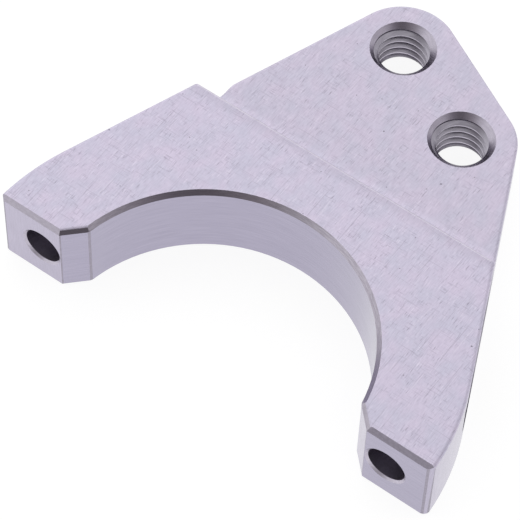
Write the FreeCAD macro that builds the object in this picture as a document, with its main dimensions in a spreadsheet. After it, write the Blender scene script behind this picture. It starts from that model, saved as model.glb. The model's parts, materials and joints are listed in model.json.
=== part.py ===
import FreeCAD, Part
import math
import os
import Sketcher

# Bracket half of a split fork clamp, milled from aluminium plate.
# Origin: bore axis at the underside. +Z is the bore axis, +Y points to the tab, X runs from ear to ear.
NODE = "fork_clamp"

# Driving dimensions in millimetres: alias, value, what it measures.
SIZES = (
    ("bore_diameter", 43.0, "bore that closes on the fork tube"),
    ("split_offset", 1.1, "bore axis to the split face, half of the clamping gap"),
    ("clamp_thickness", 12.0, "plate thickness round the bore"),
    ("corner_facet", 2.75, "45 degree facet where the bore meets the split face"),
    ("edge_chamfer", 0.6, "chamfer on the upper rim of the bore and on the split faces"),
    ("edge_round", 0.5, "softened upper edges of the outer walls"),
    ("bolt_inset", 5.5, "bore wall to the axis of each clamp bolt"),
    ("ear_margin", 6.6, "axis of a clamp bolt to the outer arc of the ears"),
    ("bolt_clearance", 5.5, "plain hole for an M5 bolt"),
    ("bolt_rim", 0.3, "deburred rim of a bolt hole"),
    ("ear_grip", 11.0, "metal under the bolt head, from the split face"),
    ("head_bore", 10.0, "counterbore for the bolt's socket head"),
    ("step_distance", 31.0, "bore axis to the step down to the tab"),
    ("step_fillet", 3.5, "fillet at the foot of the step"),
    ("tab_thickness", 7.5, "plate thickness of the tab"),
    ("tapped_half_width", 7.4, "bore centre line to each tapped hole, along X"),
    ("tapped_far", 55.1, "bore axis to the further tapped hole, along Y"),
    ("tapped_near", 47.2, "bore axis to the nearer tapped hole, along Y"),
    ("lobe_radius", 7.5, "round corner of the tab about each tapped hole"),
    ("tap_drill", 6.8, "tapping hole for an M8 thread"),
    ("tap_countersink", 9.2, "mouth of each tapped hole"),
)
# The clamp bolts stand off from the bore, and the ears close round the bolts.
BOLT_REACH = "bore_diameter / 2 + bolt_inset"
EAR_RADIUS = "bore_diameter / 2 + bolt_inset + ear_margin"
# The fillet at the foot of the step leaves some of the step's wall upright.
FOOT_RADIUS = "min( step_fillet ; 0.8 * ( clamp_thickness - tab_thickness ) )"
# Edges are found by places that agree this closely, in millimetres.
NEAR = 1e-4

# How a sketch numbers its own origin and axes, and the points of a line or arc.
ORIGIN_POINT = (-1, 1)
X_AXIS, Y_AXIS = range(-1, -3, -1)
START, END, CENTRE = range(1, 4)
SQUARE = 90
ORIGIN = FreeCAD.Vector(0, 0, 0)
UP = FreeCAD.Vector(0, 0, 1)

doc = FreeCAD.newDocument(NODE)
sheet = doc.addObject("Spreadsheet::Sheet", "sizes")
for row, (alias, value, meaning) in enumerate(SIZES, start=1):
    sheet.set(f"A{row}", meaning)
    sheet.set(f"B{row}", str(value))
    sheet.setAlias(f"B{row}", alias)
doc.recompute()

body = doc.addObject("PartDesign::Body", NODE)
body.Label = NODE


def size(formula):
    """Value of a formula of driving dimensions, such as "bore_diameter / 2"."""
    return float(sheet.evalExpression(formula))


def from_sheet(formula):
    """The same formula as another object writes it, with each alias looked up in the sheet."""
    words = formula.split()
    aliases = [alias for alias, value, meaning in SIZES]
    return " ".join(f"sizes.{word}" if word in aliases else word for word in words)


def sketch_on(role, name, offset):
    """Sketch on one of the body's origin planes, moved along that plane's normal by a formula."""
    plane = next(item for item in body.Origin.OriginFeatures if item.Role == role)
    sketch = body.newObject("Sketcher::SketchObject", name)
    sketch.AttachmentSupport = [(plane, "")]
    sketch.MapMode = "FlatFace"
    sketch.setExpression("AttachmentOffset.Base.z", from_sheet(offset))
    return sketch


def bind(sketch, formula, *constraint):
    """Adds a dimension to a sketch, tied to the sheet by a formula."""
    index = sketch.addConstraint(Sketcher.Constraint(*constraint, size(formula)))
    sketch.setExpression(f"Constraints[{index}]", from_sheet(formula))


def relate(sketch, *constraints):
    """Adds constraints that have no size of their own."""
    for constraint in constraints:
        sketch.addConstraint(Sketcher.Constraint(*constraint))


def polar(centre, radius, angle):
    """Point at an angle on a circle in the sketch."""
    return centre + radius * FreeCAD.Vector(math.cos(angle), math.sin(angle), 0)


def arc(centre, radius, start, end):
    """Arc of a circle in the sketch, anticlockwise between two angles."""
    return Part.ArcOfCircle(Part.Circle(centre, UP, radius), start, end)


def edges_where(shape, test):
    """Names of the shape's edges whose middle point passes a test."""
    names = []
    for number, edge in enumerate(shape.Edges, start=1):
        middle = edge.valueAt((edge.FirstParameter + edge.LastParameter) / 2)
        if test(edge, middle):
            names.append(f"Edge{number}")
    return names


def same(first, second):
    """Whether two places agree."""
    return abs(first - second) < NEAR


def dress(kind, name, property_name, formula, test):
    """Fillet or chamfer on the edges of the solid so far that pass a test."""
    doc.recompute()
    base = body.Tip
    feature = body.newObject(f"PartDesign::{kind}", name)
    feature.Base = (base, edges_where(base.Shape, test))
    feature.setExpression(property_name, from_sheet(formula))
    doc.recompute()
    return feature


def taken_away(feature, before):
    """Stops the build if a cut took no metal away from the volume before it."""
    doc.recompute()
    removed = before - feature.Shape.Volume
    print(f"{feature.Label} takes away {removed:.1f} mm3")
    if removed < NEAR:
        raise RuntimeError(f"{feature.Label} cuts nothing")


def cut(sketch, name, length=None):
    """Pocket through the solid, or to a length."""
    doc.recompute()
    before = body.Tip.Shape.Volume
    pocket = body.newObject("PartDesign::Pocket", name)
    pocket.Profile = sketch
    if length is None:
        pocket.Type = "ThroughAll"
    else:
        pocket.setExpression("Length", from_sheet(length))
    taken_away(pocket, before)


def drill(sketch, name, diameter, mouth):
    """Holes through the solid at a sketch's circles, each with a 90 degree countersink."""
    doc.recompute()
    before = body.Tip.Shape.Volume
    hole = body.newObject("PartDesign::Hole", name)
    hole.Profile = sketch
    doc.recompute()
    hole.DepthType = "ThroughAll"
    hole.HoleCutType = "Countersink"
    hole.HoleCutCustomValues = True
    hole.HoleCutCountersinkAngle = SQUARE
    hole.setExpression("Diameter", from_sheet(diameter))
    hole.setExpression("HoleCutDiameter", from_sheet(mouth))
    taken_away(hole, before)


def plan_outline():
    """Plan of the plate: ear arcs about the bore, lobes about the tapped holes, tangent walls between."""
    far = FreeCAD.Vector(-size("tapped_half_width"), size("tapped_far"), 0)
    near = FreeCAD.Vector(size("tapped_half_width"), size("tapped_near"), 0)
    ear = size(EAR_RADIUS)
    lobe = size("lobe_radius")
    left_normal = math.atan2(far.y, far.x) + math.acos((ear - lobe) / far.Length)
    right_normal = math.atan2(near.y, near.x) - math.acos((ear - lobe) / near.Length)
    far_normal = math.atan2(near.y - far.y, near.x - far.x) + math.pi / 2
    split_angle = math.asin(size("split_offset") / ear)
    sketch = sketch_on("XY_Plane", "plan_outline", "0")
    left_ear, left_wall, far_lobe, far_wall, near_lobe, right_wall, right_ear, split = sketch.addGeometry([
        arc(ORIGIN, ear, left_normal, math.pi - split_angle),
        Part.LineSegment(polar(ORIGIN, ear, left_normal), polar(far, lobe, left_normal)),
        arc(far, lobe, far_normal, left_normal),
        Part.LineSegment(polar(far, lobe, far_normal), polar(near, lobe, far_normal)),
        arc(near, lobe, right_normal, far_normal),
        Part.LineSegment(polar(near, lobe, right_normal), polar(ORIGIN, ear, right_normal)),
        arc(ORIGIN, ear, split_angle, right_normal),
        Part.LineSegment(polar(ORIGIN, ear, split_angle), polar(ORIGIN, ear, math.pi - split_angle)),
    ])
    relate(
        sketch,
        ("Coincident", left_ear, CENTRE, *ORIGIN_POINT),
        ("Coincident", right_ear, CENTRE, *ORIGIN_POINT),
        ("Tangent", left_ear, START, left_wall, START),
        ("Tangent", left_wall, END, far_lobe, END),
        ("Tangent", far_lobe, START, far_wall, START),
        ("Tangent", far_wall, END, near_lobe, END),
        ("Tangent", near_lobe, START, right_wall, START),
        ("Tangent", right_wall, END, right_ear, END),
        ("Coincident", right_ear, START, split, START),
        ("Coincident", left_ear, END, split, END),
        ("Horizontal", split),
        ("Equal", left_ear, right_ear),
        ("Equal", far_lobe, near_lobe),
    )
    bind(sketch, EAR_RADIUS, "Radius", left_ear)
    bind(sketch, "lobe_radius", "Radius", far_lobe)
    bind(sketch, "split_offset", "DistanceY", *ORIGIN_POINT, split, START)
    bind(sketch, "tapped_half_width", "DistanceX", far_lobe, CENTRE, *ORIGIN_POINT)
    bind(sketch, "tapped_far", "DistanceY", *ORIGIN_POINT, far_lobe, CENTRE)
    bind(sketch, "tapped_half_width", "DistanceX", *ORIGIN_POINT, near_lobe, CENTRE)
    bind(sketch, "tapped_near", "DistanceY", *ORIGIN_POINT, near_lobe, CENTRE)
    return sketch


def step_area():
    """Rectangle over the whole tab, for milling it down from the plate's thickness."""
    left = -size(EAR_RADIUS)
    right = size(EAR_RADIUS)
    low = size("step_distance")
    high = size("tapped_far + 2 * lobe_radius")
    corners = [(left, low), (right, low), (right, high), (left, high)]
    points = [FreeCAD.Vector(x, y, 0) for x, y in corners]
    sketch = sketch_on("XY_Plane", "step_area", "clamp_thickness")
    near, east, far, west = sketch.addGeometry(
        [Part.LineSegment(points[i], points[(i + 1) % 4]) for i in range(4)])
    relate(
        sketch,
        ("Coincident", near, END, east, START),
        ("Coincident", east, END, far, START),
        ("Coincident", far, END, west, START),
        ("Coincident", west, END, near, START),
        ("Horizontal", near),
        ("Horizontal", far),
        ("Vertical", east),
        ("Vertical", west),
    )
    bind(sketch, EAR_RADIUS, "DistanceX", near, START, *ORIGIN_POINT)
    bind(sketch, EAR_RADIUS, "DistanceX", *ORIGIN_POINT, near, END)
    bind(sketch, "step_distance", "DistanceY", *ORIGIN_POINT, near, START)
    bind(sketch, "tapped_far + 2 * lobe_radius", "DistanceY", *ORIGIN_POINT, far, START)
    return sketch


def bore_profile():
    """Half-round bore with a 45 degree facet on each side, closed along the bore's centre line."""
    radius = size("bore_diameter / 2")
    facet_top = size("split_offset + corner_facet")
    start = math.asin(facet_top / radius)
    inner_x = radius * math.cos(start)
    outer_x = inner_x + size("corner_facet")
    split = size("split_offset")
    right = [FreeCAD.Vector(x, y, 0) for x, y in ((inner_x, facet_top), (outer_x, split), (outer_x, 0))]
    left = [FreeCAD.Vector(-point.x, point.y, 0) for point in reversed(right)]
    sketch = sketch_on("XY_Plane", "bore_profile", "clamp_thickness")
    wall, right_facet, right_side, middle, left_side, left_facet = sketch.addGeometry([
        arc(ORIGIN, radius, start, math.pi - start),
        Part.LineSegment(right[0], right[1]),
        Part.LineSegment(right[1], right[2]),
        Part.LineSegment(right[2], left[0]),
        Part.LineSegment(left[0], left[1]),
        Part.LineSegment(left[1], left[2]),
    ])
    relate(
        sketch,
        ("Coincident", wall, CENTRE, *ORIGIN_POINT),
        ("Coincident", wall, START, right_facet, START),
        ("Coincident", right_facet, END, right_side, START),
        ("Coincident", right_side, END, middle, START),
        ("Coincident", middle, END, left_side, START),
        ("Coincident", left_side, END, left_facet, START),
        ("Coincident", left_facet, END, wall, END),
        ("Vertical", right_side),
        ("PointOnObject", right_side, END, X_AXIS),
        ("PointOnObject", left_side, START, X_AXIS),
        ("Symmetric", wall, START, wall, END, Y_AXIS),
        ("Symmetric", right_facet, END, left_facet, START, Y_AXIS),
        ("Vertical", left_side),
    )
    bind(sketch, "bore_diameter / 2", "Radius", wall)
    bind(sketch, "split_offset", "DistanceY", *ORIGIN_POINT, right_facet, END)
    bind(sketch, "corner_facet", "DistanceX", right_facet, START, right_facet, END)
    bind(sketch, "corner_facet", "DistanceY", right_facet, END, right_facet, START)
    return sketch


def hole_pair(sketch, diameter, places):
    """Two equal circles, left and right, each at formulas for its distances from the sketch's origin."""
    circles = []
    for side, (across, along) in zip((-1, 1), places):
        centre = FreeCAD.Vector(side * size(across), size(along), 0)
        circle = sketch.addGeometry(Part.Circle(centre, UP, size(diameter) / 2))
        ends = [(circle, CENTRE), ORIGIN_POINT]
        bind(sketch, across, "DistanceX", *ends[side > 0], *ends[side < 0])
        bind(sketch, along, "DistanceY", *ORIGIN_POINT, circle, CENTRE)
        circles.append(circle)
    relate(sketch, ("Equal", *circles))
    bind(sketch, diameter, "Diameter", circles[0])
    return sketch


BOLT_PLACES = [(BOLT_REACH, "clamp_thickness / 2")] * 2
TAPPED_PLACES = [("tapped_half_width", "tapped_far"), ("tapped_half_width", "tapped_near")]


def ear_corner(edge, middle):
    """Upright outer edge of a split face."""
    return same(middle.y, size("split_offset")) and same(middle.z, size("clamp_thickness / 2"))


def clamping_rim(edge, middle):
    """Upper edge of the bore, of its facets and of the split faces."""
    inside = math.hypot(middle.x, middle.y) < size("bore_diameter / 2 + corner_facet / 2")
    at_split = same(middle.y, size("split_offset"))
    return same(middle.z, size("clamp_thickness")) and (inside or at_split)


def step_foot(edge, middle):
    """Inner corner where the step meets the tab."""
    return same(middle.y, size("step_distance")) and same(middle.z, size("tab_thickness"))


def plate_edge(edge, middle):
    """Upper edge of an outer wall of the plate, or of the step."""
    beyond_rim = math.hypot(middle.x, middle.y) > size("bore_diameter / 2 + corner_facet / 2")
    beyond_split = middle.y > size("split_offset + edge_chamfer") + NEAR
    return same(middle.z, size("clamp_thickness")) and beyond_rim and beyond_split


def tab_edge(edge, middle):
    """Upper edge of an outer wall of the tab."""
    foot_end = same(middle.y, size("step_distance + step_fillet"))
    return same(middle.z, size("tab_thickness")) and not foot_end


def tapped_mouth(edge, middle):
    """Upper or lower rim of a tapped hole, which is a whole circle."""
    return edge.isClosed() and same(edge.Length, math.pi * size("tap_drill"))


# The plate with its bore, and the chamfers round the split faces and along the upper rim of the bore.
plate = body.newObject("PartDesign::Pad", "plate")
plate.Profile = plan_outline()
plate.setExpression("Length", from_sheet("clamp_thickness"))
dress("Chamfer", "ear_corners", "Size", "edge_chamfer", ear_corner)
cut(bore_profile(), "bore")
dress("Chamfer", "clamping_rim", "Size", "edge_chamfer", clamping_rim)

# The tab milled down behind the bore, with softened upper edges on the plate and then on the tab.
cut(step_area(), "tab_step", length="clamp_thickness - tab_thickness")
dress("Fillet", "step_foot", "Radius", FOOT_RADIUS, step_foot)
dress("Fillet", "plate_edges", "Radius", "edge_round", plate_edge)
dress("Fillet", "tab_edges", "Radius", "edge_round", tab_edge)

# The clamp bolts' holes with counterbores for their heads, and the tapped holes with their mouths.
bolt_sketch = sketch_on("XZ_Plane", "bolt_holes", "-1 * split_offset")
hole_pair(bolt_sketch, "bolt_clearance", BOLT_PLACES)
drill(bolt_sketch, "clamp_bolt_holes", "bolt_clearance", "bolt_clearance + 2 * bolt_rim")
head_sketch = sketch_on("XZ_Plane", "bolt_heads", "-1 * split_offset - ear_grip")
cut(hole_pair(head_sketch, "head_bore", BOLT_PLACES), "head_counterbores")
tapped_sketch = sketch_on("XY_Plane", "tapped_holes", "tab_thickness")
cut(hole_pair(tapped_sketch, "tap_drill", TAPPED_PLACES), "tapping_holes")
dress("Chamfer", "tapped_mouths", "Size", "( tap_countersink - tap_drill ) / 2", tapped_mouth)

doc.recompute()
faults = [item.Label for item in doc.Objects if {"Invalid", "Error"} & set(item.State)]
shape = body.Shape
if faults or shape.isNull() or not shape.isValid() or len(shape.Solids) != 1:
    raise RuntimeError(f"the clamp isn't sound: {faults}")

os.makedirs("parts", exist_ok=True)
shape.exportStep(f"parts/{NODE}.step")
box = shape.BoundBox
print(f"{NODE}: {shape.Volume:.1f} mm3, {box.XLength:.2f} x {box.YLength:.2f} x {box.ZLength:.2f} mm")
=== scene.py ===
# %% [markdown]
# # A milled fork clamp
# The part is one half of a split clamp, milled from aluminium plate. It lies flat on a white studio floor.
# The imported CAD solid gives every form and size. Blender adds what the solid leaves plain: the cut threads,
# the filed corners and the marks that each tool left on the metal.

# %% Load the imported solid
import json
import math

import bmesh
import bpy
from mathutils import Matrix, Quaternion, Vector


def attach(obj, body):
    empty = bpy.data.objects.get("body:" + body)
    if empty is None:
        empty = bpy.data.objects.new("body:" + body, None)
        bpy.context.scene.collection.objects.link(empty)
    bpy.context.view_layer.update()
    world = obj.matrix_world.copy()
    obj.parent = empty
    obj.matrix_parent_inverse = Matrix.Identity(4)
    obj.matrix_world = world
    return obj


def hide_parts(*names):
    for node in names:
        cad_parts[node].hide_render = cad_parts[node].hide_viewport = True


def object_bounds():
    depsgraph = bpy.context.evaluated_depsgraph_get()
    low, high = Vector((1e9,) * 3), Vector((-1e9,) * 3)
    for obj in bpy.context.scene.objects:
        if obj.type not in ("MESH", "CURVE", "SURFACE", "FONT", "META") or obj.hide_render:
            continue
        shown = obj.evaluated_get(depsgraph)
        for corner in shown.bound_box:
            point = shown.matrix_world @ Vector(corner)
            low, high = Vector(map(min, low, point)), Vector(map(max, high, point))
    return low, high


bpy.ops.wm.read_factory_settings(use_empty=True)
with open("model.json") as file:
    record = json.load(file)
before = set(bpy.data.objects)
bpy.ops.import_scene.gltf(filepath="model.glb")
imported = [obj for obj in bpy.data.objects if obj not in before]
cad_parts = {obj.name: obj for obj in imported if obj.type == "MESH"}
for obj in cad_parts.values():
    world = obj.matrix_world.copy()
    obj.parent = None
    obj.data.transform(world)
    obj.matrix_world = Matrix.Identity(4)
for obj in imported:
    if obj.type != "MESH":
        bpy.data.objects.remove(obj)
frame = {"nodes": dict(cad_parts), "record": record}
cad_low, cad_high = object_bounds()
MM = 0.001
scene = bpy.context.scene
print("solid, mm:", [round(side / MM, 2) for side in cad_high - cad_low])

# %% [markdown]
# ## The places that the finishes need
# Each tool worked on its own surfaces, so the script has to tell them apart: the bore, the holes and the
# step. The centres could be copied from the CAD source as numbers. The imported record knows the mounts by
# name, so they are read from there, and they follow the part if it changes.

# %% Places on the part
mounts = {mount["name"]: mount for mount in frame["record"]["mounts"]}
tapped_centres = [Vector(mounts[name]["pos_m"]) for name in ("tapped_hole_far", "tapped_hole_near")]
tap_radius = mounts["tapped_hole_far"]["dims"]["r_mm"] * MM
bore_radius = mounts["fork_bore"]["dims"]["r_mm"] * MM
bolt_reach = mounts["clamp_bolts"]["dims"]["spacing_x_mm"] * MM / 2
split_y = mounts["clamp_bolts"]["pos_m"][1]
bolt_height = mounts["clamp_bolts"]["pos_m"][2]
tab_top = mounts["tab_top"]["pos_m"][2]
plate_top = cad_high.z
print("bore radius, mm:", bore_radius / MM, "tapped holes:", len(tapped_centres))

# %% [markdown]
# ## A copy of the solid to work on
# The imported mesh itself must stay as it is, so the visible clamp is a copy of it. A CAD mesh comes as long
# thin triangles. They could be kept, but they shade badly and cut badly. Joining those that lie in one plane
# leaves whole faces.

# %% Copy the mesh and join flat triangles
SAME_POINT = 1e-4 * MM
FLAT_ANGLE = math.radians(0.2)

clamp = bpy.data.objects.new("clamp_half", frame["nodes"]["fork_clamp"].data.copy())
scene.collection.objects.link(clamp)
clamp.data.attributes.remove(clamp.data.attributes["custom_normal"])
clamp_mesh = bmesh.new()
clamp_mesh.from_mesh(clamp.data)
bmesh.ops.remove_doubles(clamp_mesh, verts=clamp_mesh.verts, dist=SAME_POINT)
bmesh.ops.dissolve_limit(
    clamp_mesh, angle_limit=FLAT_ANGLE, verts=clamp_mesh.verts, edges=clamp_mesh.edges)
clamp_mesh.to_mesh(clamp.data)
clamp_mesh.free()
print("clamp faces:", len(clamp.data.polygons))

# %% [markdown]
# ## Threads
# The solid's tapped holes are plain, at the tap drill's diameter. A real M8 thread is a helical groove with
# 60 degree flanks. A bump pattern could fake it, but the crests show against the light at the far side of
# each hole, so the groove is cut. It starts as a section with four corners.

# %% Section of the thread groove
PITCH = 1.25 * MM
MAJOR_RADIUS = 4.0 * MM
CREST_SHARE = 0.16
FLANK_SLOPE = math.tan(math.radians(30))
CLEAR_INSIDE = 0.2 * MM


def groove_section():
    """Radius and height of the groove's corners, from inside the hole to the thread's root and back."""
    half_mouth = PITCH * (1 - CREST_SHARE) / 2
    half_inner = half_mouth + CLEAR_INSIDE * FLANK_SLOPE
    half_root = half_mouth - (MAJOR_RADIUS - tap_radius) * FLANK_SLOPE
    inner = tap_radius - CLEAR_INSIDE
    return [(inner, -half_inner), (MAJOR_RADIUS, -half_root), (MAJOR_RADIUS, half_root), (inner, half_inner)]


print("groove, mm:", [(round(radius / MM, 2), round(up / MM, 2)) for radius, up in groove_section()])

# %% [markdown]
# ## A groove along a helix
# The section is swept up a helix, one ring of corners after another, and the two ends are closed. A Screw
# modifier could sweep it too, but rings in a loop say plainly where the groove starts and ends: it runs past
# the hole at both ends, so that the cut is clean.

# %% Build the grooves
STEPS_PER_TURN = 56
OVERRUN = 1.4 * MM


def add_groove(mesh, centre):
    """Adds one hole's helical groove, from below the underside to above the tab, as a closed body."""
    section = groove_section()
    turns = (tab_top + 2 * OVERRUN) / PITCH
    rings = []
    for step in range(round(turns * STEPS_PER_TURN) + 1):
        angle = 2 * math.pi * step / STEPS_PER_TURN
        rise = PITCH * step / STEPS_PER_TURN - OVERRUN
        ring = []
        for radius, up in section:
            x = centre.x + radius * math.cos(angle)
            y = centre.y + radius * math.sin(angle)
            ring.append(mesh.verts.new((x, y, rise + up)))
        rings.append(ring)
    for lower, upper in zip(rings, rings[1:]):
        for corner in range(len(section)):
            following = (corner + 1) % len(section)
            mesh.faces.new((lower[corner], lower[following], upper[following], upper[corner]))
    mesh.faces.new(rings[0])
    mesh.faces.new(rings[-1])


groove_mesh = bmesh.new()
for centre in tapped_centres:
    add_groove(groove_mesh, centre)
bmesh.ops.recalc_face_normals(groove_mesh, faces=groove_mesh.faces)
groove_data = bpy.data.meshes.new("thread_grooves")
groove_mesh.to_mesh(groove_data)
groove_mesh.free()
grooves = bpy.data.objects.new("thread_grooves", groove_data)
scene.collection.objects.link(grooves)
print("groove faces:", len(groove_data.polygons))

# %% [markdown]
# ## Cutting the threads
# A Boolean modifier takes the grooves out of the clamp. Its exact solver is slower than the fast one, but it
# copes with the flanks that graze the countersunk mouths. The result is kept as a plain mesh, and the groove
# bodies are thrown away.

# %% Cut the M8 threads
threading = clamp.modifiers.new("threading", "BOOLEAN")
threading.operation = "DIFFERENCE"
threading.solver = "EXACT"
threading.object = grooves
bpy.context.view_layer.update()
threaded = bpy.data.meshes.new_from_object(clamp.evaluated_get(bpy.context.evaluated_depsgraph_get()))
clamp.modifiers.clear()
clamp.data = threaded
bpy.data.objects.remove(grooves)
print("threaded clamp faces:", len(clamp.data.polygons))

# %% [markdown]
# ## Deburred corners
# A file takes the sharpness off the upright corners of the facets and ears, and off the rim of the underside.
# A Bevel modifier that works by angle would reach the threads too, so the wanted edges are picked by place.
# The corners beside the bolt holes are told apart, because they have no room for a flat on both sides.

# %% Tell the corners apart
SHARP_ANGLE = math.radians(20)
UPRIGHT_LENGTH = 5.0 * MM
MOUTH_RADIUS = 4.7 * MM


def is_upright(edge):
    """Whether an edge is a long vertical one."""
    first, second = (vert.co for vert in edge.verts)
    return (first - second).xy.length < SAME_POINT and edge.calc_length() > UPRIGHT_LENGTH


def is_bolt_corner(edge):
    """Whether an edge is the upright corner between a facet and a split face, close beside a bolt hole."""
    foot = edge.verts[0].co
    return is_upright(edge) and foot.y - split_y < SAME_POINT and abs(foot.x) < bolt_reach


def is_filed(edge):
    """Whether an edge is another upright corner, or on the underside's rim away from the tapped holes."""
    if len(edge.link_faces) != 2 or edge.calc_face_angle() < SHARP_ANGLE:
        return False
    first, second = (vert.co for vert in edge.verts)
    at_underside = max(first.z, second.z) < SAME_POINT
    from_tap = min((first.xy - centre.xy).length for centre in tapped_centres)
    on_rim = at_underside and from_tap > MOUTH_RADIUS
    return on_rim or (is_upright(edge) and not is_bolt_corner(edge))


clamp_mesh = bmesh.new()
clamp_mesh.from_mesh(clamp.data)
clamp_mesh.normal_update()
bolt_corners = [edge for edge in clamp_mesh.edges if is_bolt_corner(edge)]
print("corners beside the bolt holes:", len(bolt_corners))

# %% [markdown]
# ## File marks
# The file leaves a narrow flat that catches its own light. Most corners get it from a bevel. Beside the bolt
# holes a strip of the facet is split off and takes the flat's place. The new faces get the number of a finish
# that comes later, so all eight finishes are numbered here.

# %% File the corners
FILED_WIDTH = 0.2 * MM
PLATE, WALL, BORE_AND_SHADE, CHAMFER, HOLE, FILED, RUBBED_AND_HIGHLIGHT, MOUTH = range(8)


def split_strip(mesh, corner):
    """Splits a filed strip off the facet beside a corner."""
    facet = min(corner.link_faces, key=lambda face: abs(face.normal.y))
    foot = corner.verts[0].co.copy()
    across = facet.normal.cross((0, 0, 1))
    across *= math.copysign(1, across.dot(facet.calc_center_median() - foot))
    bmesh.ops.bisect_plane(
        mesh, geom=[facet, *facet.edges, *facet.verts],
        plane_co=foot + FILED_WIDTH * across, plane_no=across)
    strip = min(corner.link_faces, key=lambda face: abs(face.normal.y))
    strip.material_index = FILED


for corner in bolt_corners:
    split_strip(clamp_mesh, corner)
filed_edges = [edge for edge in clamp_mesh.edges if is_filed(edge)]
flats = bmesh.ops.bevel(
    clamp_mesh, geom=filed_edges, offset=FILED_WIDTH, segments=1, affect="EDGES", material=FILED)
flat_count = len(flats["faces"])
bmesh.ops.remove_doubles(clamp_mesh, verts=clamp_mesh.verts, dist=SAME_POINT)
clamp_mesh.to_mesh(clamp.data)
clamp_mesh.free()
print("filed edges:", len(filed_edges), "filed flats:", flat_count)

# %% [markdown]
# ## Smooth and sharp edges
# Round walls should look round, and machined corners should look crisp. Shading all faces flat would show
# that the bore is made of strips, and shading all smooth would blur the chamfers. Faces that meet at a small
# angle are shaded as one surface, and the angle is set well below the 45 degrees of the chamfers. Weighted
# normals let the large flat faces stay flat up to their edges.

# %% Shade by angle
LARGE_FACES_FIRST = 100

clamp.data.shade_smooth()
clamp.data.set_sharp_from_angle(angle=SHARP_ANGLE)
flat_faces_lead = clamp.modifiers.new("flat_faces_lead", "WEIGHTED_NORMAL")
flat_faces_lead.mode = "FACE_AREA"
flat_faces_lead.weight = LARGE_FACES_FIRST
flat_faces_lead.keep_sharp = True
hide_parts("fork_clamp")
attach(clamp, "root")
print("sharp edges:", sum(edge.use_edge_sharp for edge in clamp.data.edges))

# %% [markdown]
# ## Helpers for the materials
# Colours are written as sRGB hex values, as a colour picker gives them, but shaders work in linear light, so
# one function makes that change. Nodes could be added and linked line by line. A second function adds a node
# with its settings and links in one call, which keeps a material short enough to read.

# %% Colour and node helpers


def linear(hex_code):
    """Linear RGBA of an sRGB hex colour."""
    channels = [int(hex_code[i:i + 2], 16) / 255 for i in (1, 3, 5)]
    curve = [c / 12.92 if c <= 0.04045 else ((c + 0.055) / 1.055) ** 2.4 for c in channels]
    return (*curve, 1.0)


def add_node(tree, kind, inputs=None, **settings):
    """Adds a node. Inputs are keyed by name or number: a socket is linked, and any other value is set."""
    node = tree.nodes.new(kind)
    for name, value in settings.items():
        setattr(node, name, value)
    for key, value in (inputs or {}).items():
        if isinstance(value, bpy.types.NodeSocket):
            tree.links.new(value, node.inputs[key])
        else:
            node.inputs[key].default_value = value
    return node


def new_material(name):
    """Material with an empty node tree, and the tree."""
    material = bpy.data.materials.new(name)
    material.use_nodes = True
    material.node_tree.nodes.clear()
    return material, material.node_tree


print("middle grey, linear:", [round(c, 3) for c in linear("#808080")])

# %% [markdown]
# ## Tool marks
# All the finishes are the same bare aluminium, and each differs by the lines that its tool left. An image of
# scratches could show them, but noise that is squeezed across the lines and stretched along them fits any
# face. Its cell is a size in millimetres. Real lines are a few hundredths of a millimetre wide, which is less
# than a pixel, so all of them are drawn coarser, to show at all.

# %% Marks and colours laid over each other
FINE_LINE = 0.12


def tool_marks(tree, cell_mm, detail=2.0):
    """Noise with cells of a size along X, Y and Z, as a value about 0.5."""
    place = add_node(tree, "ShaderNodeTexCoord").outputs["Object"]
    fitted = add_node(tree, "ShaderNodeMapping", {
        "Vector": place, "Scale": [1 / (side * MM) for side in cell_mm]})
    noise = add_node(tree, "ShaderNodeTexNoise", {
        "Vector": fitted.outputs[0], "Scale": 1.0, "Detail": detail, "Roughness": 0.6})
    return noise.outputs[0]


def laid_over(tree, under, value, none, full, share, colour):
    """Colour laid over another: not at all where a value is at none, and by a share where it is at full."""
    cover = add_node(tree, "ShaderNodeMapRange", {
        "Value": value, "From Min": none, "From Max": full, "To Min": 0.0, "To Max": share})
    # A Mix node has sockets for every kind of value: its colours are inputs 6 and 7 and output 2.
    mixed = add_node(tree, "ShaderNodeMix", {
        0: cover.outputs[0], 6: under, 7: linear(colour)}, data_type="RGBA")
    return mixed.outputs[2]


print("noise cells in a metre across the finest lines:", round(1 / (FINE_LINE * MM)))

# %% [markdown]
# ## Bare metal
# All that the eye gets from bare metal is a reflection, tinted by its thin skin of oxide. Each finish could
# have its own nodes, but they differ only in sizes and colours, so one function makes them all. The shader is
# a plain metal. The tool marks drive its tint, its roughness and a relief of about a micrometre or less.

# %% Metal with the marks of one tool
MARKS_LOW = 0.3
MARKS_HIGH = 0.7


def join_metal(tree, tone, marks, rough, smooth, relief_mm):
    """Metal shader with roughness and relief that follow the marks, joined to the material's output."""
    roughness = add_node(tree, "ShaderNodeMapRange", {
        "Value": marks, "From Min": MARKS_LOW, "From Max": MARKS_HIGH, "To Min": rough, "To Max": smooth})
    relief = add_node(tree, "ShaderNodeBump", {
        "Height": marks, "Strength": 1.0, "Distance": relief_mm * MM})
    metal = add_node(tree, "ShaderNodeBsdfPrincipled", {
        "Base Color": tone, "Metallic": 1.0, "Roughness": roughness.outputs[0], "Normal": relief.outputs[0]})
    add_node(tree, "ShaderNodeOutputMaterial", {"Surface": metal.outputs[0]})


def tooled_metal(name, cell_mm, dark, light, rough, smooth, relief_mm):
    """Bare aluminium with the marks of one tool, from dark and rough to light and smooth."""
    material, tree = new_material(name)
    marks = tool_marks(tree, cell_mm)
    tone = laid_over(tree, linear(dark), marks, MARKS_LOW, MARKS_HIGH, 1.0, light)
    join_metal(tree, tone, marks, rough, smooth, relief_mm)
    return material


finishes = {}
print("marks run from", MARKS_LOW, "to", MARKS_HIGH)

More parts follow.
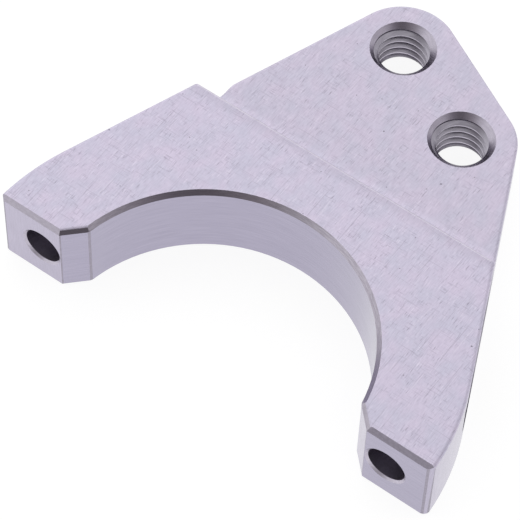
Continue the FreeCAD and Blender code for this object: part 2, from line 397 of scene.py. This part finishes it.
# %% [markdown]
# ## Strokes on the plate
# The flat faces are the plate's own skin, rubbed along the clamp's length. That leaves short broken lines
# side by side, some dark and some bright, with fainter ones across and a few long ones. They lie thick in
# some places and thin in others. The oxide gives a lilac cast that shifts to blue or pink from place to
# place. One noise can't show all of that, so each kind of stroke is a noise that is laid over the last.

# %% Rubbed strokes
STROKE_LINE = 0.17
THIN_PLACE = 0.34
THICK_PLACE = 0.62


def stroke_tone(tree, fine):
    """Lilac skin with the strokes that lie along and across the clamp."""
    cast = tool_marks(tree, (2.6, 3.4, 3.4), detail=1.0)
    thick = tool_marks(tree, (3.2, 4.0, 4.0), detail=1.0)
    strokes = tool_marks(tree, (STROKE_LINE, 1.5, 1.5), detail=1.5)
    cross = tool_marks(tree, (1.3, STROKE_LINE, 1.3), detail=1.5)
    long_lines = tool_marks(tree, (FINE_LINE, 7.0, 7.0), detail=1.0)
    long_cross = tool_marks(tree, (7.0, FINE_LINE, 7.0), detail=1.0)
    along, across = [
        add_node(tree, "ShaderNodeMapRange", {
            "Value": thick, "From Min": THIN_PLACE, "From Max": THICK_PLACE, "To Min": few, "To Max": many})
        for few, many in ((0.2, 0.8), (0.16, 0.64))]
    layers = (
        # marks, value with no stroke, value with a full stroke, share and colour
        (cast, 0.34, 0.66, 1.0, "#D7CEE1"),
        (fine, 0.62, 0.30, 0.26, "#AEA7BA"),
        (strokes, 0.39, 0.25, along.outputs[0], "#928B9D"),
        (strokes, 0.58, 0.74, along.outputs[0], "#E4DDED"),
        (cross, 0.42, 0.26, across.outputs[0], "#B0A9BB"),
        (long_lines, 0.36, 0.24, 0.6, "#AFA8B9"),
        (long_lines, 0.66, 0.78, 0.5, "#E3DDEB"),
        (long_cross, 0.34, 0.24, 0.5, "#AFA8B9"),
    )
    tone = linear("#D0CCDE")
    for marks, none, full, share, colour in layers:
        tone = laid_over(tree, tone, marks, none, full, share, colour)
    return tone


print("short strokes are drawn", STROKE_LINE, "mm wide, and long ones", FINE_LINE)

# %% [markdown]
# ## Wear and painted shade on the plate
# A darker strip along the step paints the shade of the plate's rounded upper edge, the milled tab is a shade
# greyer than the plate, and here and there is a pit. These could be painted, but they follow from height,
# distance to the step and scattered cells, so nodes place them by real sizes.

# %% Rubbed plate material
STEP_EDGE = 31.0 * MM
EDGE_ROUND = 0.5 * MM
SHADE_STRIP_WIDTH = 2.0 * MM
SHADE_STRIP_SHARE = 0.28
TAB_SHARE = 0.10
PIT_SHARE = 0.75
PIT_CORE = 0.4
PITS = ((17.0, 0.16), (9.0, 0.10))  # spacing and radius in millimetres


def wear_and_edge_shade_tone(tree, tone):
    """Tone with painted shade along the step's edge, the greyer tab and the pits."""
    place = add_node(tree, "ShaderNodeTexCoord").outputs["Object"]
    along = add_node(tree, "ShaderNodeSeparateXYZ", {0: place})
    height = along.outputs["Z"]
    edge_shade_ramp = add_node(tree, "ShaderNodeMapRange", {
        "Value": height, "From Min": tab_top, "From Max": plate_top, "To Min": 0.0, "To Max": SHADE_STRIP_SHARE})
    # Painted shade: a darker strip along the step, where the plate's rounded edge turns away from the light.
    tone = laid_over(
        tree, tone, along.outputs["Y"], STEP_EDGE - SHADE_STRIP_WIDTH, STEP_EDGE - EDGE_ROUND,
        edge_shade_ramp.outputs[0], "#ADA6B5")
    tone = laid_over(tree, tone, height, plate_top, tab_top, TAB_SHARE, "#A9A3A9")
    for spacing, radius in PITS:
        spots = add_node(tree, "ShaderNodeTexVoronoi", {
            "Vector": place, "Scale": 1 / (spacing * MM)}, voronoi_dimensions="2D")
        rim = radius / spacing
        tone = laid_over(tree, tone, spots.outputs["Distance"], rim, PIT_CORE * rim, PIT_SHARE, "#5F5A66")
    return tone


def rubbed_plate():
    """Flat upper and lower faces of the plate and the tab."""
    material, tree = new_material("rubbed_aluminium_plate")
    fine = tool_marks(tree, (0.13, 1.0, 1.0), detail=3.0)
    tone = wear_and_edge_shade_tone(tree, stroke_tone(tree, fine))
    join_metal(tree, tone, fine, rough=0.56, smooth=0.46, relief_mm=0.0012)
    return material


# Rubbed plate: a pale, broad shine that is broken up by strokes.
finishes[PLATE] = rubbed_plate()
print("nodes in the plate's finish:", len(finishes[PLATE].node_tree.nodes))

# %% [markdown]
# ## Milled and bored walls
# The outer walls were cut by the side of an end mill, and its faint lines stand upright. The bore was cut by
# a turning tool, so its lines run round the bore and change only with height. Both could share one finish,
# but the direction of the lines tells the eye how each wall was made.

# %% Wall materials
# End-milled aluminium: an even satin shine with fine upright lines.
finishes[WALL] = tooled_metal(
    "end_milled_aluminium", cell_mm=(0.16, 0.16, 2.5),
    dark="#B7B1C4", light="#C0BACD", rough=0.24, smooth=0.20, relief_mm=0.0002)
# Bored aluminium: a slightly darker satin with fine level rings. It also paints shade on the left facet and
# the right split face.
finishes[BORE_AND_SHADE] = tooled_metal(
    "bored_and_painted_shade_aluminium", cell_mm=(5.0, 5.0, 0.16),
    dark="#ACA7BB", light="#B4AFC3", rough=0.23, smooth=0.19, relief_mm=0.0003)
print("walls:", finishes[WALL].name, finishes[BORE_AND_SHADE].name)

# %% [markdown]
# ## Chamfers, threads and countersunk mouths
# Chamfers come from a sharp form cutter, and a countersink turns the mouths of the tapped holes. Dark paint
# could stand in for their dark parts, but real ones mirror the dim side of the room, so they are kept smooth
# enough to do that. The tap and the counterbore leave rings. Light is reflected many times inside a hole, so
# any tint would build up there, and that metal is nearly a plain grey.

# %% Cutter materials
# Chamfer-cut aluminium: narrow bands that turn from dark to light round the bore.
finishes[CHAMFER] = tooled_metal(
    "chamfer_cut_aluminium", cell_mm=(1.2, 1.2, FINE_LINE),
    dark="#A6A0AC", light="#BEB8C4", rough=0.24, smooth=0.18, relief_mm=0.0004)
# Tapped aluminium: grey flanks that go dark in the depth of the hole.
finishes[HOLE] = tooled_metal(
    "tapped_aluminium", cell_mm=(1.6, 1.6, 0.14),
    dark="#9F9BA6", light="#B2AEB9", rough=0.36, smooth=0.28, relief_mm=0.0003)
# Countersunk aluminium: a bright cone with a dark patch where it faces the camera.
finishes[MOUTH] = tooled_metal(
    "countersunk_aluminium", cell_mm=(1.2, 1.2, FINE_LINE),
    dark="#B4AEBC", light="#C2BCCA", rough=0.26, smooth=0.20, relief_mm=0.0003)
print("cutters:", finishes[CHAMFER].name, finishes[HOLE].name, finishes[MOUTH].name)

# %% [markdown]
# ## Hand work and painted highlights
# A file leaves corners dull and a little darker, and a plain drill leaves the bolt holes as rough as a file
# does. Emery cloth dulls an edge too, but leaves it pale. The same pale finish paints highlights on the
# thread crests and on the step's upper edge. A single worn finish would be simpler, but the dark and the pale
# edges lie side by side.

# %% Hand-worked materials
# Rough-cut aluminium: dull flats and holes, darker than the walls beside them.
finishes[FILED] = tooled_metal(
    "rough_cut_aluminium", cell_mm=(0.4, 0.4, 0.25),
    dark="#9F99A7", light="#ADA7B6", rough=0.46, smooth=0.38, relief_mm=0.0005)
# Emery-rubbed aluminium: soft pale lines along the edges, and painted highlights on the step and the crests.
finishes[RUBBED_AND_HIGHLIGHT] = tooled_metal(
    "rubbed_and_painted_highlight_aluminium", cell_mm=(0.5, 0.5, 0.14),
    dark="#C0BAC8", light="#CEC8D6", rough=0.42, smooth=0.34, relief_mm=0.0004)
print("hand work:", finishes[FILED].name, finishes[RUBBED_AND_HIGHLIGHT].name)

# %% [markdown]
# ## Which finish is in a hole
# Faces could be picked by hand in the viewport, but a rule on place and direction also holds after a change.
# Faces in a hole look towards the hole's axis. By the bolts, the deburred rim comes first, then the drilled
# wall, then the wider seat of the bolt's head. In a tapped hole the mouth slopes at 45 degrees, and the
# upright faces nearest to the axis are the crests.

# %% Faces in the holes
BOLT_RIM = 0.3 * MM
DRILLED_RADIUS = 3.0 * MM
HEAD_RADIUS = 5.05 * MM
# A normal's share along an axis: with less than the first a face doesn't lean that way, and with more than
# the second it is square to the axis.
LEAST_TILT = 0.05
LEVEL = 0.99
CHAMFER_TILT = math.cos(math.radians(45))
crest_limit = (tap_radius + MAJOR_RADIUS) / 2


def finish_by_bolt(face):
    """Finish of a face in a bolt hole or in the seat of its head, and None for other faces."""
    middle, normal = face.center, face.normal
    to_bolt = Vector((math.copysign(bolt_reach, middle.x) - middle.x, 0, bolt_height - middle.z))
    looks_at_bolt = normal.dot(to_bolt) > SAME_POINT
    if to_bolt.length >= HEAD_RADIUS:
        return None
    if looks_at_bolt and middle.y - split_y < BOLT_RIM:
        return RUBBED_AND_HIGHLIGHT
    if looks_at_bolt and abs(normal.y) < LEAST_TILT:
        return FILED if to_bolt.length < DRILLED_RADIUS else HOLE
    return HOLE if normal.y > LEVEL else None


def finish_by_tap(face):
    """Finish of a face in a tapped hole, and None for other faces."""
    from_tap = min((face.center.xy - centre.xy).length for centre in tapped_centres)
    slope = abs(face.normal.z)
    if from_tap >= MOUTH_RADIUS or slope > LEVEL:
        return None
    # Painted highlight: the crests get the pale finish, where they catch the light.
    if slope < LEAST_TILT and from_tap < crest_limit:
        return RUBBED_AND_HIGHLIGHT
    return MOUTH if abs(slope - CHAMFER_TILT) < LEAST_TILT else HOLE


by_tap = [finish_by_tap(face) for face in clamp.data.polygons]
print("faces of thread, crest and mouth:", [by_tap.count(finish) for finish in (HOLE, RUBBED_AND_HIGHLIGHT, MOUTH)])

# %% [markdown]
# ## Which finish is outside the holes
# The bore's wall lies on the bore's radius, the chamfers slope at 45 degrees beside the bore and the split
# faces, and the other upright faces are walls. The bore's darker finish paints shade on the left ear's facet
# and on the right ear's split face. The left split chamfer gets the pale finish, and the right one the filed
# finish. The step's upper edge gets the pale finish as a painted highlight.

# %% Faces outside the holes
CHAMFER_LEG = 0.6 * MM
FACET = 2.75 * MM
CHORD_DEPTH = 0.05 * MM


def finish_of_wall(face):
    """Finish of an upright face."""
    middle = face.center
    from_bore = middle.xy.length - bore_radius
    from_split = middle.y - split_y
    on_split = from_split < SAME_POINT
    on_facet = from_bore < FACET and from_split < FACET and abs(face.normal.y) < LEVEL
    # Painted shade: the bore's darker finish on the left facet and on the right split face.
    shade_painted_face = on_split if middle.x > 0 else on_facet
    return BORE_AND_SHADE if from_bore < CHORD_DEPTH or shade_painted_face else WALL


def finish_of_edge(face):
    """Finish of a chamfer, a fillet or a rounded edge."""
    middle, normal = face.center, face.normal
    from_bore = middle.xy.length - bore_radius
    from_split = middle.y - split_y
    on_step = middle.z > plate_top - EDGE_ROUND and middle.y > STEP_EDGE - EDGE_ROUND
    # Painted highlight: the step's upper edge gets the pale finish.
    if on_step and abs(normal.x) < LEAST_TILT:
        return RUBBED_AND_HIGHLIGHT
    at_split = from_split < CHAMFER_LEG
    at_facet = from_bore < FACET / 2 and from_split < FACET + CHAMFER_LEG
    at_rim = from_bore < CHAMFER_LEG or at_split or at_facet
    if not at_rim or abs(normal.z - CHAMFER_TILT) >= LEAST_TILT:
        return PLATE
    if at_split and abs(normal.x) < LEAST_TILT:
        return RUBBED_AND_HIGHLIGHT if middle.x < 0 else FILED
    return CHAMFER


print("upright faces:", sum(abs(face.normal.z) < LEAST_TILT for face in clamp.data.polygons))

# %% [markdown]
# ## A finish for every face
# The rules are tried in order: holes first, then level faces, walls and edges. Emptying the list of materials
# sets every face back to the first one, so the faces that the file made are noted before that.

# %% Give each face its finish


def finish_of(face):
    """Finish of any face that the file left alone."""
    in_hole = [finish for finish in (finish_by_bolt(face), finish_by_tap(face)) if finish is not None]
    if in_hole:
        return in_hole[0]
    if abs(face.normal.z) > LEVEL:
        return PLATE
    if abs(face.normal.z) < LEAST_TILT:
        return finish_of_wall(face)
    return finish_of_edge(face)


was_filed = [face.material_index == FILED for face in clamp.data.polygons]
clamp.data.materials.clear()
for number in sorted(finishes):
    clamp.data.materials.append(finishes[number])
for face, filed in zip(clamp.data.polygons, was_filed):
    face.material_index = FILED if filed else finish_of(face)
chosen = [face.material_index for face in clamp.data.polygons]
print("faces with each finish:", {finishes[number].name: chosen.count(number) for number in sorted(finishes)})

# %% [markdown]
# ## White floor
# The part lies on matt white paper, which is even white to the camera and keeps a soft shadow. Paper that is
# only lit would need so much light that the part would burn out. The paper glows to the camera and to the
# metal that mirrors it, and only its own darker share takes the shadow.

# %% Paper floor
FLOOR_HALF = 1.0
FLOOR_GAP = 0.02 * MM
FLOOR_GLOW = "#F1F1F1"
FLOOR_PAPER = "#7C7C7C"

floor_data = bpy.data.meshes.new("studio_floor")
floor_data.from_pydata(
    [(-FLOOR_HALF, -FLOOR_HALF, -FLOOR_GAP), (FLOOR_HALF, -FLOOR_HALF, -FLOOR_GAP),
     (FLOOR_HALF, FLOOR_HALF, -FLOOR_GAP), (-FLOOR_HALF, FLOOR_HALF, -FLOOR_GAP)], [], [(0, 1, 2, 3)])
floor = bpy.data.objects.new("studio_floor", floor_data)
scene.collection.objects.link(floor)

# Matt white paper: an even white with a soft shadow.
floor_material, tree = new_material("white_paper_floor")
rays = add_node(tree, "ShaderNodeLightPath")
seen = add_node(tree, "ShaderNodeMath", {
    0: rays.outputs["Is Camera Ray"], 1: rays.outputs["Is Glossy Ray"]}, operation="MAXIMUM")
seen_through = add_node(tree, "ShaderNodeMath", {
    0: seen.outputs[0], 1: rays.outputs["Is Transmission Ray"]}, operation="MAXIMUM")
paper = add_node(tree, "ShaderNodeBsdfDiffuse", {"Color": linear(FLOOR_PAPER)})
glow = add_node(tree, "ShaderNodeEmission", {
    "Color": linear(FLOOR_GLOW), "Strength": seen_through.outputs[0]})
both = add_node(tree, "ShaderNodeAddShader", {0: paper.outputs[0], 1: glow.outputs[0]})
add_node(tree, "ShaderNodeOutputMaterial", {"Surface": both.outputs[0]})
floor_data.materials.append(floor_material)
print("floor side, m:", 2 * FLOOR_HALF)

# %% [markdown]
# ## A room for the metal to mirror
# Bare metal shows nothing but its surroundings, so the room does the work of the lamps. Area lamps could give
# the light, but their hard outlines would show in the smooth chamfers. Soft places in the room don't have
# outlines. The room is brightest behind the part and dim in front, where the camera stands. Flat faces then
# shine evenly, and the chamfers that tip forward turn dark and draw the edges.

# %% Bright and dim places
ROOM_LEVEL = 1.3
ROOM_COLOUR = "#D4D4D4"
PLACES = (
    # azimuth from -Y towards +X, elevation, half width and soft edge in degrees, and colour
    (-125, 34, 12, 30, "#FFFFFF"),
    (-162, 26, 10, 26, "#FFFFFF"),
    (118, 14, 12, 40, "#BAB8BA"),
    (-28, 60, 8, 14, "#8A878A"),
    (-62, 12, 22, 14, "#E2E2E2"),
    (12, 33, 4, 34, "#7E797B"),
    (62, 33, 6, 32, "#7A757A"),
    (40, 34, 9, 16, "#605C5F"),
)


def towards(azimuth, elevation):
    """Direction with an azimuth from -Y towards +X and an elevation, in degrees."""
    turn, rise = math.radians(azimuth), math.radians(elevation)
    return Vector((math.sin(turn) * math.cos(rise), -math.cos(turn) * math.cos(rise), math.sin(rise)))


room = bpy.data.worlds.new("studio_room")
scene.world = room
room.use_nodes = True
tree = room.node_tree
tree.nodes.clear()
direction = add_node(tree, "ShaderNodeTexCoord").outputs["Generated"]
room_colour = linear(ROOM_COLOUR)
for azimuth, elevation, half_width, soft_edge, colour in PLACES:
    facing = add_node(tree, "ShaderNodeVectorMath", {
        0: direction, 1: towards(azimuth, elevation)}, operation="DOT_PRODUCT")
    angle = add_node(tree, "ShaderNodeMath", {0: facing.outputs["Value"]}, operation="ARCCOSINE")
    room_colour = laid_over(
        tree, room_colour, angle.outputs[0],
        math.radians(half_width + soft_edge), math.radians(half_width), 1.0, colour)
print("bright and dim places in the room:", len(PLACES))

# %% [markdown]
# ## White behind the part
# From a low angle the camera looks past the floor into the room. There it should see plain white, and not the
# bright and dim places. Light Path tells the camera's rays apart, so they get white at a strength of 1, and
# the light on the part stays as it is.

# %% White backdrop
lit = add_node(tree, "ShaderNodeBackground", {"Color": room_colour, "Strength": ROOM_LEVEL})
white = add_node(tree, "ShaderNodeBackground", {"Color": linear("#FFFFFF"), "Strength": 1.0})
rays = add_node(tree, "ShaderNodeLightPath")
shown = add_node(tree, "ShaderNodeMath", {
    0: rays.outputs["Is Camera Ray"], 1: rays.outputs["Is Transmission Ray"]}, operation="MAXIMUM")
backdrop = add_node(tree, "ShaderNodeMixShader", {
    0: shown.outputs[0], 1: lit.outputs[0], 2: white.outputs[0]})
add_node(tree, "ShaderNodeOutputWorld", {"Surface": backdrop.outputs[0]})
print("nodes in the room:", len(tree.nodes))

# %% [markdown]
# ## Camera
# The picture was taken from above and from the front right, with a long lens. A Track To constraint could aim
# the camera, but it can't roll it. The camera stands at the picture's viewpoint, aims at the middle of the
# picture and rolls by a little over two degrees.

# %% Camera at the photograph's angle
EYE = Vector((107.80, -147.18, 305.17)) * MM
AIM = Vector((-3.26, 16.46, 6.00)) * MM
ROLL = math.radians(2.29)
FOCAL_PIXELS = 2775.9
PICTURE_PIXELS = 520
SENSOR = 36.0

camera_data = bpy.data.cameras.new("camera")
camera_data.sensor_width = SENSOR
camera_data.lens = FOCAL_PIXELS * SENSOR / PICTURE_PIXELS
camera_data.clip_start = 0.01
camera_data.clip_end = 10
camera = bpy.data.objects.new("camera", camera_data)
camera.location = EYE
camera.rotation_mode = "QUATERNION"
camera.rotation_quaternion = (AIM - EYE).to_track_quat("-Z", "Y") @ Quaternion((0, 0, 1), ROLL)
scene.collection.objects.link(camera)
scene.camera = camera
scene.view_settings.view_transform = "Standard"
print("lens, mm:", round(camera_data.lens, 1))
